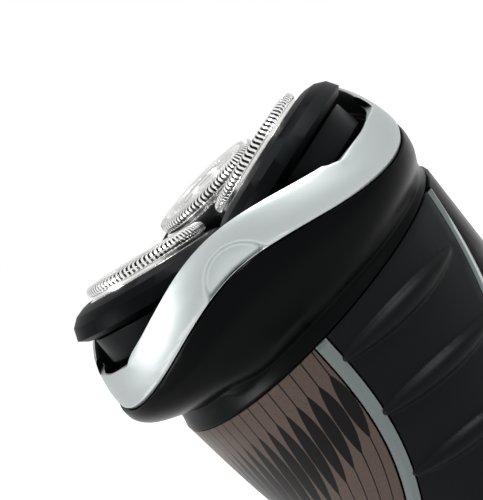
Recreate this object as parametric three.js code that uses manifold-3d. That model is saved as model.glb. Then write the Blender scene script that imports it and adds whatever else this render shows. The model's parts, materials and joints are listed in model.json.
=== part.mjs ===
// A rotary electric shaver with three shaving heads, standing upright on its flat bottom.
// Millimetres, +Z up along the handle, the front faces -Y. The origin is the centre of the bottom.
import * as THREE from "three";
import { mergeVertices } from "three/addons/utils/BufferGeometryUtils.js";
import Module from "manifold-3d";

const wasm = await Module();
wasm.setup();

// ---------------------------------------------------------------- driving dimensions
const GAP = 0.3; // between neighbouring pieces that don't move against each other
const RUN = 0.2; // radial clearance of a shaft in its hole

// Handle. Each station: share of the handle's height, half width, half depth, centre's Y.
const RIM_Z = 130; // where the shaving unit meets the handle
const RIM_DROP = 1.45; // the rim is this much lower at the front than at the sides
const STATIONS = [
  [0, 20, 16, 2],
  [0.08, 23.5, 19, 2],
  [0.31, 25, 21, 0.5],
  [0.54, 26.8, 24.6, -1.4],
  [0.77, 30, 29.4, -1.2],
  [0.845, 30.9, 30.8, -0.6],
  [0.915, 31.6, 31.6, 0],
  [1, 32.2, 32.2, 0.7],
];
const SKIN = 1.6; // thickness of the outer covers
const SKIN_BED = 0.6; // between the covers and the inner shells they are clipped to
const CHASSIS_WALL = 2; // thickness of the two inner shells
const CAP_HEIGHT = 6; // height of the bottom cap

// The two bright trims: turn from the front at the rim, height of the lowest point, curve's power.
const SHIELD = { turn: 61.5, end: RIM_Z - 53, power: 3 };
const GRIP = { turn: 130, end: 28, power: 1.4 };
const TRIM_WIDTH = 2.4;
const TRIM_GAP = 0.35; // beside the trims
const TRIM_CROWN = 0.35; // the trim's middle stands this far above its edges

const BUTTON = { above: 17, radius: 5.5, thick: 3, travel: 0.6 }; // above the shield's lowest point
const WINDOW = { width: 14, height: 20 };
const BATTERY = { radius: 7.2, length: 43, z: 15, y: 5 };
const MOTOR = { radius: 12, length: 28, below: 14, wall: 1.3 }; // below the rim
const SHAFT_R = 1.5;
const SHAFT_TOP = -22; // height of the shaft's end in the shaving unit
const TOP_PLATE = { below: 5, thick: 2.4 };
const TOP_SCREWS = 3;
const COLLAR = { inner: 16, outer: 18, height: 6 };
const SOCKET = { width: 12, depth: 8, height: 9, wall: 1.5, back: 9 }; // back from the origin

// Trimmer on the back. Heights are measured down from the rim.
const TRIMMER = { hinge: 11, neck: 2.4, bottom: 48, width: 24, knuckle: 10, barrel: 1.5, pin: 0.8 };
const COMB = { width: 20, height: 6, thick: 0.9, teeth: 8, above: 1.6 };
const RELEASE = { top: 2, bottom: 6, width: 12, rise: 0.8 };

// Shaving unit. Heights in the head are measured from the plane of the guards' flanges.
const HEAD_RISE = 24.3; // that plane above the rim
const HEAD_Z = RIM_Z + HEAD_RISE;
const FLANGE_R = 12.5;
const FACE_RADIUS = 16.2; // flange centre from the head's axis
const FULL_TILT = 15.8; // inward lean of a free lobe
const FLAT_TILT = 0; // lean of a lobe that is pressed flat
const TILT_AXIS = { radius: FACE_RADIUS - 4.2, z: -8.5 }; // runs across the lobe, nearer the head's middle
const DRIVE_RADIUS = FACE_RADIUS + 1.95; // drive spindles from the head's axis
const LOBES = [
  { name: "front", turn: -90, tilt: FULL_TILT },
  { name: "right", turn: 30, tilt: FULL_TILT },
  { name: "left", turn: 150, tilt: 0.5 },
];
const COVER = { radius: 17.75, low: -5.3 };
const LOBE_GAP = 0.45; // from a lobe's side to the plane between two lobes
const RING = {
  radius: FACE_RADIUS + 18.7, lobe: 2, shift: -0.4, wave: 3.65, low: -10.3, high: -3.3, wall: 2.5,
};
const DIMPLE = { depth: 1, half: 13, high: 0.75 };
const SKIRT_WALL = 2.2;
// Skirt levels: height, radius, how far it bulges under each lobe, centre's Y.
const SKIRT_LEVELS = [
  [-HEAD_RISE - RIM_DROP, 32.2, 0, 0.7],
  [-23.9, 31.7, 0, 0.9],
  [-21.8, 31.1, 0, 1.3],
  [-20.7, RING.radius - 2.5, 0.3, 0.1],
  [-18.8, RING.radius - 1.3, 1.8, -0.6],
  [-16, RING.radius - 0.5, 2.9, -0.8],
  [-14, RING.radius, 2.5, -0.6],
  [-11, RING.radius - 0.3, 2.1, -0.4],
  [-5, RING.radius - 1, 2, -0.4],
];
const DECK = { top: -15.2, thick: 1.2, radius: FACE_RADIUS + 12 };
const BASE = { top: -20.4, thick: 1.2, radius: 26.8 };
const SUN_TEETH = 18;
const PLANET_TEETH = 15;
const GEAR = { low: -19.5, high: -17.2 };
const SPINDLE_R = 1.4;
const BALL = { radius: 1.6, z: -7.9 };
const POST = { inner: 14.6, thick: 2.2, width: 3 };
const PIN = { radius: 0.8, inner: 11.8 };
const CUTTER_BLADES = 9;

// ---------------------------------------------------------------- materials
const plastic = (color, roughness) => new THREE.MeshStandardMaterial({ color, roughness, metalness: 0 });
const metal = (color, roughness) => new THREE.MeshStandardMaterial({ color, roughness, metalness: 1 });
const LOOK = {
  satinBlack: plastic(0x1f2426, 0.5),
  glossBlack: plastic(0x14181b, 0.2),
  charcoal: plastic(0x24292b, 0.4),
  silver: metal(0xa9b2b0, 0.35),
  trim: metal(0x8b9896, 0.3),
  bronze: metal(0x5b4d45, 0.45),
  steel: metal(0xc8c8c4, 0.2),
  nylon: plastic(0xd8d4c8, 0.5),
  board: plastic(0x1d4a34, 0.5),
  cell: plastic(0x3a6d8c, 0.4),
  glass: plastic(0x0a0c0e, 0.1),
  rubber: plastic(0x101010, 0.8),
};

// ---------------------------------------------------------------- small tools
const rad = THREE.MathUtils.degToRad;
const lerp = THREE.MathUtils.lerp;

// A closed geometry as a solid for joining and cutting.
function solid(geometry) {
  const bare = geometry.index ? geometry.toNonIndexed() : geometry.clone();
  for (const name of Object.keys(bare.attributes)) {
    if (name !== "position") bare.deleteAttribute(name);
  }
  const merged = mergeVertices(bare, 1e-3);
  const triVerts = new Uint32Array(merged.index.array);
  const vertProperties = merged.attributes.position.array;
  const made = new wasm.Manifold(new wasm.Mesh({ numProp: 3, vertProperties, triVerts }));
  if (made.volume() > 0) return made;
  for (let i = 0; i < triVerts.length; i += 3) triVerts.subarray(i, i + 2).reverse();
  return new wasm.Manifold(new wasm.Mesh({ numProp: 3, vertProperties, triVerts }));
}

function addMesh(parent, name, made, look) {
  const { vertProperties, triVerts } = made.getMesh();
  const geometry = new THREE.BufferGeometry();
  geometry.setAttribute("position", new THREE.BufferAttribute(vertProperties, 3));
  geometry.setIndex(new THREE.BufferAttribute(triVerts, 1));
  geometry.computeVertexNormals();
  const mesh = new THREE.Mesh(geometry, look);
  mesh.name = name;
  parent.add(mesh);
  return mesh;
}

// A body turned about Z from [radius, height] points that start and end on the axis.
function turnedGeometry(outline, sides) {
  const points = outline.map(([r, h]) => new THREE.Vector2(r, h));
  return new THREE.LatheGeometry(points, sides).rotateX(Math.PI / 2);
}
const turned = (outline, sides = 24) => solid(turnedGeometry(outline, sides));
// The same for a ring, whose outline closes on itself away from the axis.
const turnedRing = (outline, sides = 24) => turned([...outline, outline[0]], sides);
const tube = (inner, outer, low, high, sides) =>
  turnedRing([[inner, low], [outer, low], [outer, high], [inner, high]], sides);
const discOutline = (radius, low, high) => [[0, low], [radius, low], [radius, high], [0, high]];
const disc = (radius, low, high, sides) => turned(discOutline(radius, low, high), sides);

function box(x, y, z, width, depth, height) {
  return solid(new THREE.BoxGeometry(width, depth, height).translate(x, y, z));
}

// A round bar along X or Y through a point.
function bar(axis, radius, length, x, y, z, sides = 16) {
  const geometry = new THREE.CylinderGeometry(radius, radius, length, sides);
  if (axis === "x") geometry.rotateZ(Math.PI / 2);
  return solid(geometry.translate(x, y, z));
}

// Moves each vertex of a geometry to where the function puts it.
function warped(geometry, place) {
  const position = geometry.attributes.position;
  const point = new THREE.Vector3();
  for (let i = 0; i < position.count; i++) {
    point.copy(place(point.fromBufferAttribute(position, i)));
    position.setXYZ(i, point.x, point.y, point.z);
  }
  return solid(geometry);
}

// Values that follow their stations smoothly: the first number of a station is its position.
function smoothly(stations) {
  const spots = stations.map((station) => station[0]);
  const values = stations.flatMap((station) => station.slice(1));
  const curve = new THREE.CubicInterpolant(spots, values, stations[0].length - 1);
  return (at) => Array.from(curve.evaluate(at));
}

// ---------------------------------------------------------------- handle surface
const handleAt = smoothly(STATIONS);
const rimHeight = (turn) => RIM_Z - RIM_DROP * Math.cos(rad(turn));

// The point at a turn from the front, at a height, a depth under the skin's outer face.
function onHandle(turn, z, depth) {
  const [half, deep, middle] = handleAt(z / RIM_Z);
  const a = rad(turn);
  return new THREE.Vector3((half - depth) * Math.sin(a), middle - (deep - depth) * Math.cos(a), z);
}

// A trim's centre line: u runs from -1 at the rim on the left, over 0 at the lowest point, to 1.
function trimLine(trim, u) {
  const w = 1 - Math.abs(u);
  const turn = Math.sign(u) * trim.turn * (1 - w ** trim.power);
  return { turn, z: lerp(rimHeight(turn), trim.end, w) };
}

// The same line moved sideways over the skin: positive is outward, away from the front's middle.
function besideTrim(trim, u, distance) {
  const step = 0.01;
  const before = trimLine(trim, Math.max(u - step, -1));
  const after = trimLine(trim, Math.min(u + step, 1));
  const at = trimLine(trim, u);
  const [half, deep] = handleAt(at.z / RIM_Z);
  const perDegree = rad(1) * (half + deep) / 2;
  const along = new THREE.Vector2((after.turn - before.turn) * perDegree, after.z - before.z).normalize();
  return { turn: at.turn + distance * along.y / perDegree, z: at.z - distance * along.x };
}

// A slab over the skin. edge(u, v) gives the turn and height, u and v from 0 to 1.
function slab(columns, rows, edge, outer, inner) {
  return warped(new THREE.BoxGeometry(1, 1, 1, columns, rows, 1), (p) => {
    const { turn, z } = edge(p.x + 0.5, p.y + 0.5);
    const depth = p.z > 0 ? outer(p.x + 0.5, p.y + 0.5) : inner;
    return onHandle(turn, z, depth);
  });
}
const level = (depth) => () => depth;

// The strip between two curves that both take u from -1 to 1.
const between = (near, far) => (x, y) => {
  const a = near(2 * x - 1);
  const b = far(2 * x - 1);
  return { turn: lerp(a.turn, b.turn, y), z: lerp(a.z, b.z, y) };
};

const half = TRIM_WIDTH / 2;
const SPAN = 0.995; // the curves stop this close to the rim, which leaves the split line open
const beside = (trim, distance) => (u) => besideTrim(trim, u * SPAN, distance);

function trimStrip(trim) {
  const crown = (x, y) => -TRIM_CROWN * 4 * y * (1 - y);
  return slab(28, 2, between(beside(trim, -half), beside(trim, half)), crown, SKIN);
}

function frontPanel() {
  const lower = beside(SHIELD, -half - TRIM_GAP);
  const upper = (u) => {
    const { turn } = lower(u);
    return { turn, z: rimHeight(turn) - GAP };
  };
  return slab(20, 4, between(lower, upper), level(0), SKIN);
}

function gripBand() {
  const near = beside(SHIELD, half + TRIM_GAP);
  const far = beside(GRIP, -half - TRIM_GAP);
  return slab(28, 4, between(near, far), level(0), SKIN);
}

// Everything in front of the outer trim, to cut the back cover with.
function frontRegion() {
  const over = 5;
  const lower = beside(GRIP, half + TRIM_GAP);
  const upper = (u) => {
    const { turn } = lower(u);
    return { turn, z: rimHeight(turn) + over };
  };
  return slab(28, 3, between(lower, upper), level(-1), SKIN + 1);
}

// A full shell of the handle between two depths and from a height up to the rim.
function fullShell(outer, inner, low, sides, rows) {
  const outline = [];
  for (let i = 0; i <= rows; i++) outline.push([2, i / rows]);
  for (let i = rows; i >= 0; i--) outline.push([1, i / rows]);
  return warped(turnedGeometry([...outline, outline[0]], sides), (p) => {
    const turn = THREE.MathUtils.radToDeg(Math.atan2(p.x, -p.y));
    const z = lerp(low, rimHeight(turn) - GAP, p.z);
    return onHandle(turn, z, Math.hypot(p.x, p.y) > 1.5 ? outer : inner);
  });
}

// ---------------------------------------------------------------- handle pieces
const SKIN_LOW = CAP_HEIGHT + GAP;
const CHASSIS_OUT = SKIN + SKIN_BED;
const CHASSIS_IN = CHASSIS_OUT + CHASSIS_WALL;
const BUTTON_Z = SHIELD.end + BUTTON.above;
const WINDOW_Z = (SHIELD.end + GRIP.end) / 2;
const HINGE_Z = RIM_Z - TRIMMER.hinge;
const HINGE_Y = onHandle(180, HINGE_Z, TRIMMER.barrel + 0.1).y;
const ARM_LOW = RIM_Z - TRIMMER.bottom;
const ARM_HIGH = HINGE_Z - TRIMMER.neck;
const ARM_INNER = SKIN - 0.1;
const SWING_GAP = 0.5; // over the arm's upper edge, which sweeps past the cover
const RELEASE_Z = RIM_Z - (RELEASE.top + RELEASE.bottom) / 2;
const RELEASE_TALL = RELEASE.bottom - RELEASE.top;

function trimmerPlate() {
  const edge = (x, y) => {
    const z = lerp(ARM_LOW, ARM_HIGH, y);
    const across = (x - 0.5) * TRIMMER.width / handleAt(z / RIM_Z)[0];
    return { turn: 180 - THREE.MathUtils.radToDeg(Math.asin(across)), z };
  };
  return slab(6, 6, edge, level(0), ARM_INNER);
}

// Where the trimmer lies in the back: its arm, and above it the knuckle that its pin runs in.
function trimmerBay(deep) {
  const y = HINGE_Y + 20 - deep / 2;
  const low = ARM_LOW - GAP;
  const tall = ARM_HIGH + SWING_GAP - low;
  const neckTall = HINGE_Z + TRIMMER.barrel + GAP - ARM_HIGH + 2;
  return box(0, y, low + tall / 2, TRIMMER.width + 2 * GAP, 40 + deep, tall)
    .add(box(0, y, ARM_HIGH - 2 + neckTall / 2, TRIMMER.knuckle + 2 * GAP, 40 + deep, neckTall));
}

// The two ears on the cover that hold the pin's ends.
function pinEars() {
  const wide = 2.4;
  const deep = 2 * (TRIMMER.pin + RUN + 0.9);
  const x = TRIMMER.knuckle / 2 + GAP + wide / 2;
  const ears = [-1, 1].map((side) => box(side * x, HINGE_Y - 0.9, HINGE_Z, wide, deep, deep));
  return ears;
}

function addSkins(handle) {
  const buttonHole = bar("y", BUTTON.radius + GAP, 20, 0, -handleAt(BUTTON_Z / RIM_Z)[1], BUTTON_Z, 24);
  const windowHole = box(0, -handleAt(WINDOW_Z / RIM_Z)[1], WINDOW_Z, WINDOW.width, 16, WINDOW.height);
  addMesh(handle, "front_panel", frontPanel().subtract(buttonHole), LOOK.bronze);
  addMesh(handle, "inner_trim", trimStrip(SHIELD), LOOK.trim);
  addMesh(handle, "grip", gripBand().subtract(windowHole), LOOK.satinBlack);
  addMesh(handle, "outer_trim", trimStrip(GRIP), LOOK.trim);

  const releaseSlot = box(0, 31, RELEASE_Z, RELEASE.width + 2 * GAP, 10, RELEASE_TALL + 2 * GAP);
  const pinBore = bar("x", TRIMMER.pin + RUN / 2, TRIMMER.knuckle * 2, 0, HINGE_Y, HINGE_Z, 12);
  let cover = fullShell(0, SKIN, SKIN_LOW, 36, 7)
    .subtract(frontRegion())
    .subtract(trimmerBay(12))
    .subtract(releaseSlot);
  for (const ear of pinEars()) cover = cover.add(ear);
  addMesh(handle, "back_cover", cover.subtract(pinBore), LOOK.glossBlack);

  const halfShell = (from, to) => {
    const edge = (x, y) => {
      const turn = lerp(from, to, x);
      return { turn, z: lerp(SKIN_LOW, rimHeight(turn) - GAP, y) };
    };
    return slab(12, 7, edge, level(CHASSIS_OUT), CHASSIS_IN);
  };
  const split = 0.5; // degrees from the parting plane
  const front = halfShell(split - 90, 90 - split).subtract(buttonHole).subtract(windowHole);
  addMesh(handle, "front_shell", front, LOOK.satinBlack);
  const room = box(0, HINGE_Y, HINGE_Z, TRIMMER.knuckle + 8, 12, 8);
  let back = halfShell(90 + split, 270 - split).subtract(trimmerBay(16)).subtract(room);
  for (const share of [0.25, 0.75]) back = back.add(batteryRib(BATTERY.z + share * BATTERY.length));
  addMesh(handle, "back_shell", back, LOOK.satinBlack);
}

// A rib of the back shell that the battery lies in.
function batteryRib(z) {
  const wall = onHandle(180, z, CHASSIS_IN - 0.5).y;
  const deep = wall - BATTERY.y;
  const cell = new THREE.CylinderGeometry(BATTERY.radius + GAP, BATTERY.radius + GAP, 10, 24);
  cell.rotateX(Math.PI / 2).translate(0, BATTERY.y, z);
  return box(0, BATTERY.y + deep / 2, z, BATTERY.radius * 1.6, deep, 1.5).subtract(solid(cell));
}

function addControls(handle) {
  const buttonFace = onHandle(0, BUTTON_Z, 0).y;
  const middle = buttonFace + BUTTON.thick / 2 - 0.4;
  const button = bar("y", BUTTON.radius, BUTTON.thick, 0, middle, BUTTON_Z, 24);
  addMesh(handle, "power_button", button, LOOK.silver);

  const glassSlab = slab(4, 4, (x, y) => {
    const turnAt = THREE.MathUtils.radToDeg((WINDOW.width / 2 - GAP) / handleAt(WINDOW_Z / RIM_Z)[0]);
    return { turn: lerp(-turnAt, turnAt, x), z: WINDOW_Z + (y - 0.5) * (WINDOW.height - 2 * GAP) };
  }, level(0.1), 1.4);
  addMesh(handle, "display_window", glassSlab, LOOK.glass);

  const releaseY = onHandle(180, RELEASE_Z, 0).y;
  const releaseDeep = SKIN + RELEASE.rise;
  const releaseMiddle = releaseY + RELEASE.rise - releaseDeep / 2;
  const release = box(0, releaseMiddle, RELEASE_Z, RELEASE.width, releaseDeep, RELEASE_TALL - 1.4);
  addMesh(handle, "trimmer_release", release, LOOK.charcoal);
}

function addElectrics(handle) {
  const boardY = onHandle(0, BATTERY.z, CHASSIS_IN).y + 4.5;
  const boardTop = SHIELD.end;
  const boardTall = boardTop - BATTERY.z;
  addMesh(handle, "circuit_board", box(0, boardY, BATTERY.z + boardTall / 2, 22, 1.6, boardTall), LOOK.board);
  const displayY = onHandle(0, WINDOW_Z - WINDOW.height / 2, 1.4 + 3 * GAP).y;
  const moduleDeep = boardY - 0.8 - GAP - displayY;
  const module = box(0, displayY + moduleDeep / 2, WINDOW_Z, WINDOW.width - 2, moduleDeep, WINDOW.height - 2);
  addMesh(handle, "display_module", module, LOOK.board);
  const switchY = onHandle(0, BUTTON_Z, 0).y - 0.4 + BUTTON.thick + BUTTON.travel + GAP;
  addMesh(handle, "power_switch", box(0, switchY + 2, BUTTON_Z, 8, 4, 8), LOOK.satinBlack);
  const switchBoard = box(0, switchY + 4 + GAP + 0.8, BUTTON_Z, 18, 1.6, 16);
  addMesh(handle, "switch_board", switchBoard, LOOK.board);

  const battery = new THREE.CylinderGeometry(BATTERY.radius, BATTERY.radius, BATTERY.length, 24);
  battery.rotateX(Math.PI / 2).translate(0, BATTERY.y, BATTERY.z + BATTERY.length / 2);
  addMesh(handle, "battery", solid(battery), LOOK.cell);

  const motorTop = RIM_Z - MOTOR.below;
  const motorLow = motorTop - MOTOR.length;
  const inside = MOTOR.radius - MOTOR.wall;
  const hole = SHAFT_R + RUN;
  const can = turned([[0, motorLow], [MOTOR.radius, motorLow], [MOTOR.radius, motorTop], [hole, motorTop],
    [hole, motorTop - MOTOR.wall], [inside, motorTop - MOTOR.wall], [inside, motorLow + MOTOR.wall],
    [0, motorLow + MOTOR.wall]]);
  addMesh(handle, "motor", can, LOOK.steel);
  const coreLow = motorLow + MOTOR.wall + GAP;
  const coreTop = motorTop - MOTOR.wall - GAP;
  const core = inside - 3 * GAP;
  const rotor = turned([[0, coreLow], [core, coreLow], [core, coreTop], [SHAFT_R, coreTop],
    [SHAFT_R, HEAD_Z + SHAFT_TOP], [0, HEAD_Z + SHAFT_TOP]], 20);
  addMesh(handle, "motor_armature", rotor, LOOK.steel);

  const cradleLow = motorTop + GAP;
  const cradleR = handleAt(cradleLow / RIM_Z)[1] - CHASSIS_IN - 2 * GAP;
  const cradle = tube(SHAFT_R + 2, cradleR, cradleLow, cradleLow + 2, 32)
    .add(tube(MOTOR.radius + GAP, MOTOR.radius + GAP + 1.5, cradleLow - 12, cradleLow + 1, 24));
  addMesh(handle, "motor_cradle", cradle, LOOK.nylon);
}

function addTop(handle) {
  const high = RIM_Z - TOP_PLATE.below;
  const low = high - TOP_PLATE.thick;
  const [, deep, middle] = handleAt(low / RIM_Z);
  const radius = deep - Math.abs(middle) - CHASSIS_IN - GAP;
  const collar = tube(COLLAR.inner, COLLAR.outer, low, high + COLLAR.height, 32);
  let plate = tube(8, radius, low, high, 32).add(collar);
  const screwRing = (COLLAR.outer + radius) / 2 - 2;
  for (let i = 0; i < TOP_SCREWS; i++) {
    const a = rad(360 * (i + 0.5) / TOP_SCREWS);
    const spot = [screwRing * Math.cos(a), screwRing * Math.sin(a)];
    const hole = new THREE.CylinderGeometry(1.4, 1.4, 6, 12).rotateX(Math.PI / 2);
    plate = plate.subtract(solid(hole.translate(...spot, high - 1)));
    const screw = turned([[0, low - 2], [1.1, low - 2], [1.1, high + GAP], [2.1, high + GAP],
      [2.1, high + 1.5], [0, high + 1.5]], 12);
    addMesh(handle, `top_screw_${i + 1}`, screw, LOOK.steel).position.set(...spot, 0);
  }
  addMesh(handle, "top_plate", plate, LOOK.satinBlack);
  const seal = tube(radius - 3, radius - 0.4, high + GAP, high + 1.6, 32);
  addMesh(handle, "neck_seal", seal, LOOK.rubber);
}

function addBottom(handle) {
  const holeWide = SOCKET.width + 2 * (SOCKET.wall + GAP);
  const holeDeep = SOCKET.depth + 2 * (SOCKET.wall + GAP);
  const outline = [[0, 0], [0.9, 0], [1, 0.15], [1, 0.6], [1, 1], [0, 1]];
  const sides = 40;
  const cap = warped(turnedGeometry(outline, sides).rotateZ(Math.PI / sides), (p) => {
    const turn = THREE.MathUtils.radToDeg(Math.atan2(p.x, -p.y));
    const share = Math.hypot(p.x, p.y);
    const edge = onHandle(turn, p.z * CAP_HEIGHT, 0);
    const centre = handleAt(edge.z / RIM_Z)[2];
    return new THREE.Vector3(edge.x * share, centre + (edge.y - centre) * share, edge.z);
  });
  const middle = SOCKET.back;
  const hole = box(0, middle, 0, holeWide, holeDeep, 40);
  addMesh(handle, "bottom_cap", cap.subtract(hole), LOOK.glossBlack);

  const tall = SOCKET.height + SOCKET.wall;
  const low = 0.4;
  const across = SOCKET.width + 2 * SOCKET.wall;
  let socket = box(0, middle, low + tall / 2, across, SOCKET.depth + 2 * SOCKET.wall, tall)
    .subtract(box(0, middle, low + SOCKET.height / 2 - 1, SOCKET.width, SOCKET.depth, SOCKET.height + 2));
  const pinRadius = 0.8;
  [-1, 1].forEach((side, i) => {
    const x = side * SOCKET.width / 4;
    const bore = new THREE.CylinderGeometry(pinRadius + RUN, pinRadius + RUN, 8, 12);
    socket = socket.subtract(solid(bore.rotateX(Math.PI / 2).translate(x, middle, low + tall)));
    const pin = disc(pinRadius, low + SOCKET.height - 3, low + tall + 2, 12);
    addMesh(handle, `charging_pin_${i + 1}`, pin, LOOK.steel).position.set(x, middle, 0);
  });
  addMesh(handle, "charging_socket", socket, LOOK.satinBlack);
}

function addTrimmer(handle) {
  // Comb and blade lie under the arm's lower end, teeth down, against a pad of the arm.
  const low = ARM_LOW + COMB.above;
  const [half, deep, middle] = handleAt(low / RIM_Z);
  const cornerTurn = Math.asin(COMB.width / 2 / (half - ARM_INNER));
  const cornerY = middle + (deep - ARM_INNER) * Math.cos(cornerTurn);
  const combY = cornerY - GAP - COMB.thick / 2;
  const padTop = onHandle(180, low + COMB.height, ARM_INNER - 0.5).y;
  const pad = box(0, (cornerY + padTop) / 2, low + COMB.height - 1, COMB.width - 6, padTop - cornerY, 3);

  const knuckle = bar("x", TRIMMER.barrel, TRIMMER.knuckle, 0, HINGE_Y, HINGE_Z, 20);
  const webTall = HINGE_Z - ARM_HIGH + 2;
  const web = box(0, HINGE_Y + 0.3, HINGE_Z - webTall / 2, TRIMMER.knuckle, 1.6, webTall);
  const bore = bar("x", TRIMMER.pin + RUN / 2, TRIMMER.width, 0, HINGE_Y, HINGE_Z, 12);
  const arm = trimmerPlate().add(pad).add(web).add(knuckle).subtract(bore);
  addMesh(handle, "trimmer_arm", arm, LOOK.glossBlack);
  const pin = bar("x", TRIMMER.pin, TRIMMER.knuckle + 4.4, 0, HINGE_Y, HINGE_Z, 12);
  addMesh(handle, "trimmer_hinge_pin", pin, LOOK.steel);

  const toothed = (y) => {
    const root = 2.4;
    let piece = box(0, y, low + (COMB.height + root) / 2, COMB.width, COMB.thick, COMB.height - root);
    const pitch = COMB.width / COMB.teeth;
    for (let i = 0; i < COMB.teeth; i++) {
      const x = (i + 0.5 - COMB.teeth / 2) * pitch;
      piece = piece.add(box(x, y, low + (root + 0.4) / 2, pitch / 2, COMB.thick, root + 0.4));
    }
    return piece;
  };
  addMesh(handle, "trimmer_comb", toothed(combY), LOOK.steel);
  addMesh(handle, "trimmer_blade", toothed(combY - COMB.thick - GAP), LOOK.steel);
}

// ---------------------------------------------------------------- shaving unit
// 1 under the middle of each lobe, -1 halfway between two lobes; turn is measured from the front.
const threefold = (turn) => Math.cos(3 * rad(turn));

function trimRing() {
  const { wall } = RING;
  // Outline: how far inward from the outer face, share of the band's height.
  const outline = [[0.35, 0], [0, 0.07], [0.1, 0.3], [0.45, 0.52], [0.9, 0.72], [1.35, 0.9], [1.8, 1],
    [wall - 0.3, 0.99], [wall, 0.9], [wall, 0.3], [wall - 0.6, 0]];
  const closed = [...outline, outline[0]].map(([inward, share]) => [10 - inward, share]);
  const band = warped(turnedGeometry(closed, 48), (p) => {
    const turn = THREE.MathUtils.radToDeg(Math.atan2(p.x, -p.y));
    const three = threefold(turn);
    const off = Math.abs((turn + 360) % 120 - 60); // degrees from the nearest crest
    const near = Math.max(0, 1 - (off / DIMPLE.half) ** 2);
    const scoop = DIMPLE.depth * near * Math.max(0, 1 - p.z / DIMPLE.high);
    const inward = 10 - Math.hypot(p.x, p.y);
    const deep = inward + (inward < wall / 3 ? scoop : 0);
    const radius = RING.radius + RING.lobe * three - deep;
    const z = lerp(RING.low, RING.high, p.z) - RING.wave * three;
    return new THREE.Vector3(radius * Math.sin(rad(turn)), RING.shift - radius * Math.cos(rad(turn)), z);
  });
  // Each lobe's rim comes down inside the ring when the lobe is pressed flat.
  return LOBES.reduce((rest, { turn }) => {
    const pressed = turnedGeometry(discOutline(COVER.radius + GAP, COVER.low, 10), 28);
    pressed.applyMatrix4(faceMatrix(FLAT_TILT)).rotateZ(rad(turn));
    return rest.subtract(solid(pressed));
  }, band);
}

const skirtAt = smoothly(SKIRT_LEVELS);
const ringLow = (turn) => RING.low - RING.wave * threefold(turn);

function onSkirt(turn, z, depth) {
  const [radius, bulge, middle] = skirtAt(z);
  const r = radius + bulge * threefold(turn) - depth;
  return new THREE.Vector3(r * Math.sin(rad(turn)), middle - r * Math.cos(rad(turn)), z);
}

function skirt() {
  const rows = 7;
  const outline = [];
  for (let i = 0; i <= rows; i++) outline.push([2, i / rows]);
  for (let i = rows; i >= 0; i--) outline.push([1, i / rows]);
  return warped(turnedGeometry([...outline, outline[0]], 36), (p) => {
    const turn = THREE.MathUtils.radToDeg(Math.atan2(p.x, -p.y));
    const low = rimHeight(turn) - HEAD_Z;
    const z = lerp(low, ringLow(turn) - GAP, p.z);
    return onSkirt(turn, z, Math.hypot(p.x, p.y) > 1.5 ? 0 : SKIRT_WALL);
  });
}

// A spur gear's outline with straight-sided teeth, one of them pointing along +X.
function gearShape(teeth, module) {
  const pitch = teeth * module / 2;
  const tip = pitch + 0.85 * module;
  const root = pitch - 1.15 * module;
  const quarter = Math.PI / 2 / teeth;
  const shape = new THREE.Shape();
  for (let i = 0; i < teeth; i++) {
    const middle = 2 * Math.PI * i / teeth;
    for (const [radius, turn] of [[root, -1.3], [tip, -0.42], [tip, 0.42], [root, 1.3]]) {
      const a = middle + turn * quarter;
      const spot = [radius * Math.cos(a), radius * Math.sin(a)];
      if (i === 0 && turn === -1.3) shape.moveTo(...spot);
      else shape.lineTo(...spot);
    }
  }
  shape.closePath();
  return shape;
}

const MODULE = 2 * DRIVE_RADIUS / (SUN_TEETH + PLANET_TEETH);

function gear(teeth, bore) {
  const depth = GEAR.high - GEAR.low;
  const blank = new THREE.ExtrudeGeometry(gearShape(teeth, MODULE), { depth, bevelEnabled: false });
  return solid(blank.translate(0, 0, GEAR.low)).subtract(disc(bore, GEAR.low - 1, GEAR.high + 1, 16));
}

// From the tilt axis to the flange's centre, in the lobe's own frame.
const REACH = new THREE.Vector3(FACE_RADIUS - TILT_AXIS.radius, 0, -TILT_AXIS.z)
  .applyAxisAngle(new THREE.Vector3(0, 1, 0), rad(FULL_TILT));

// The pose of a lobe's flange frame inside its sector, whose +X points outward.
function faceMatrix(tilt) {
  const turn = new THREE.Matrix4().makeRotationY(-rad(tilt));
  const reach = new THREE.Matrix4().makeTranslation(REACH);
  return new THREE.Matrix4().makeTranslation(TILT_AXIS.radius, 0, TILT_AXIS.z).multiply(turn).multiply(reach);
}

// The third of the head that one lobe may use, seen from the lobe's own frame at a lean.
function sectorSeenAt(tilt) {
  const reach = 120;
  const apex = LOBE_GAP / Math.sin(rad(60));
  const shape = new THREE.Shape();
  shape.moveTo(apex, 0);
  shape.lineTo(apex + reach * Math.cos(rad(60)), reach * Math.sin(rad(60)));
  shape.lineTo(apex + reach * Math.cos(rad(60)), -reach * Math.sin(rad(60)));
  shape.closePath();
  const wedge = new THREE.ExtrudeGeometry(shape, { depth: 80, bevelEnabled: false }).translate(0, 0, -40);
  return solid(wedge.applyMatrix4(faceMatrix(tilt).invert()));
}
const SECTORS = [FULL_TILT, (FULL_TILT + FLAT_TILT) / 2, FLAT_TILT].map(sectorSeenAt);
const withinSector = (made) => SECTORS.reduce((rest, sector) => rest.intersect(sector), made);

function lobeCover() {
  const hole = FLANGE_R + GAP;
  return withinSector(turnedRing([[hole, -1.9], [hole, 0.3], [hole + 0.3, 0.55], [14.05, 0.3], [15.75, -0.45],
    [17.2, -1.9], [COVER.radius, -4.2], [16.2, COVER.low + 0.2], [13.3, COVER.low], [13.3, -1.9]], 28));
}

function hairChamber() {
  const brim = COVER.low - GAP;
  const cup = turnedRing([[4.2, -11], [13.7, -11], [14.2, -10.6], [14.9, brim], [13.4, brim], [12.7, -9.8],
    [4.2, -9.8]], 20);
  return withinSector(cup).subtract(bar("y", PIN.radius + RUN, 40, -REACH.x, 0, -REACH.z, 10));
}

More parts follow.
